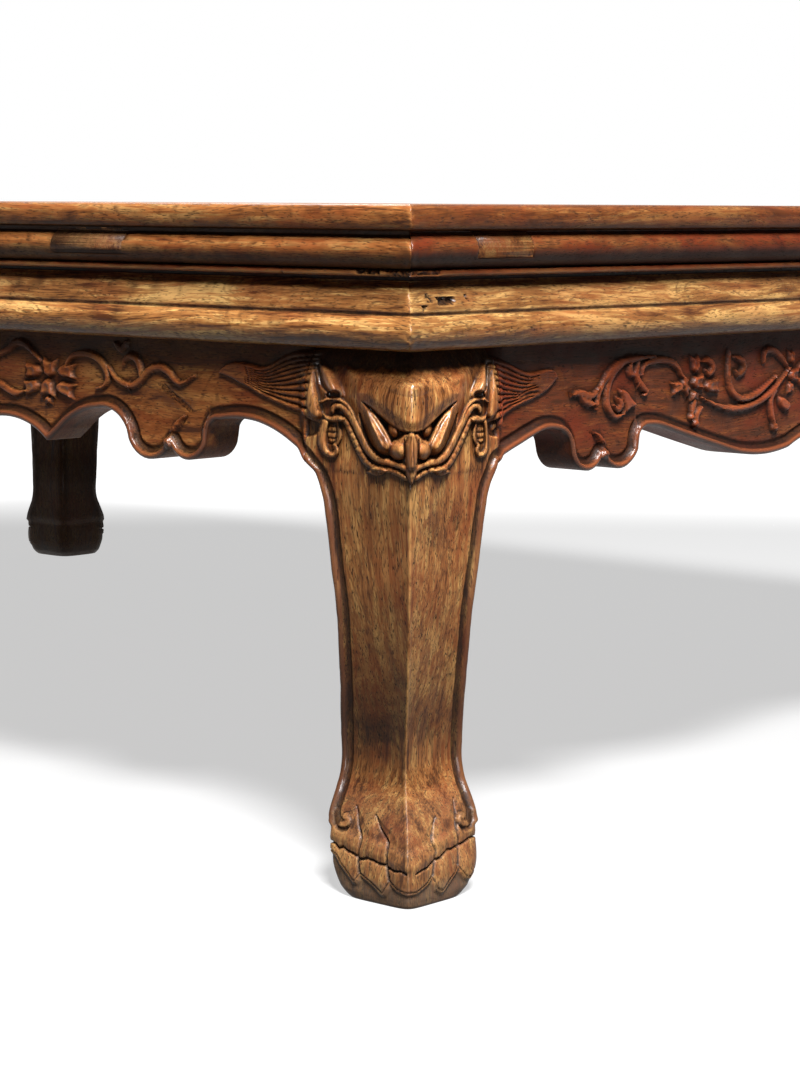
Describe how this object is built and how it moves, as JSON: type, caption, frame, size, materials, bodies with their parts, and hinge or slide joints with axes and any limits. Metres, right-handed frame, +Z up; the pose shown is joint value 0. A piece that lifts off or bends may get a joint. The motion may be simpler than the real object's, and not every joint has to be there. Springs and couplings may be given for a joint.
{
  "type": "kang table",
  "caption": "Low waisted hardwood table with a mitred framed top, moulded belt, cusped aprons, and cabriole legs with paw feet.",
  "frame": {"origin": "on the floor, under the middle of the top", "axes": "+X along the table to the right, +Y from the front to the back, +Z up"},
  "size_m": [1.04, 0.74, 0.3],
  "materials": {
    "moulding_wood": "waxed satin",
    "carved_wood": "waxed satin",
    "panel_wood": "waxed satin",
    "hidden_wood": "planed, unwaxed"
  },
  "bodies": {
    "root": {"frame_long_front": "moulding_wood", "frame_long_back": "moulding_wood", "frame_short_left": "moulding_wood", "frame_short_right": "moulding_wood", "panel_board_front": "panel_wood", "panel_board_back": "panel_wood", "brace_left": "hidden_wood", "brace_middle": "hidden_wood", "brace_right": "hidden_wood", "waist_front": "moulding_wood", "waist_back": "moulding_wood", "waist_left": "moulding_wood", "waist_right": "moulding_wood", "belt_front": "moulding_wood", "belt_back": "moulding_wood", "belt_left": "moulding_wood", "belt_right": "moulding_wood", "apron_front": "carved_wood", "apron_back": "carved_wood", "apron_left": "carved_wood", "apron_right": "carved_wood", "leg_front_left": "carved_wood", "leg_front_right": "carved_wood", "leg_back_left": "carved_wood", "leg_back_right": "carved_wood", "hanging_pin_front_left": "hidden_wood", "hanging_pin_front_right": "hidden_wood", "hanging_pin_back_left": "hidden_wood", "hanging_pin_back_right": "hidden_wood", "hanging_pin_left": "hidden_wood", "hanging_pin_right": "hidden_wood"}
  },
  "joints": []
}
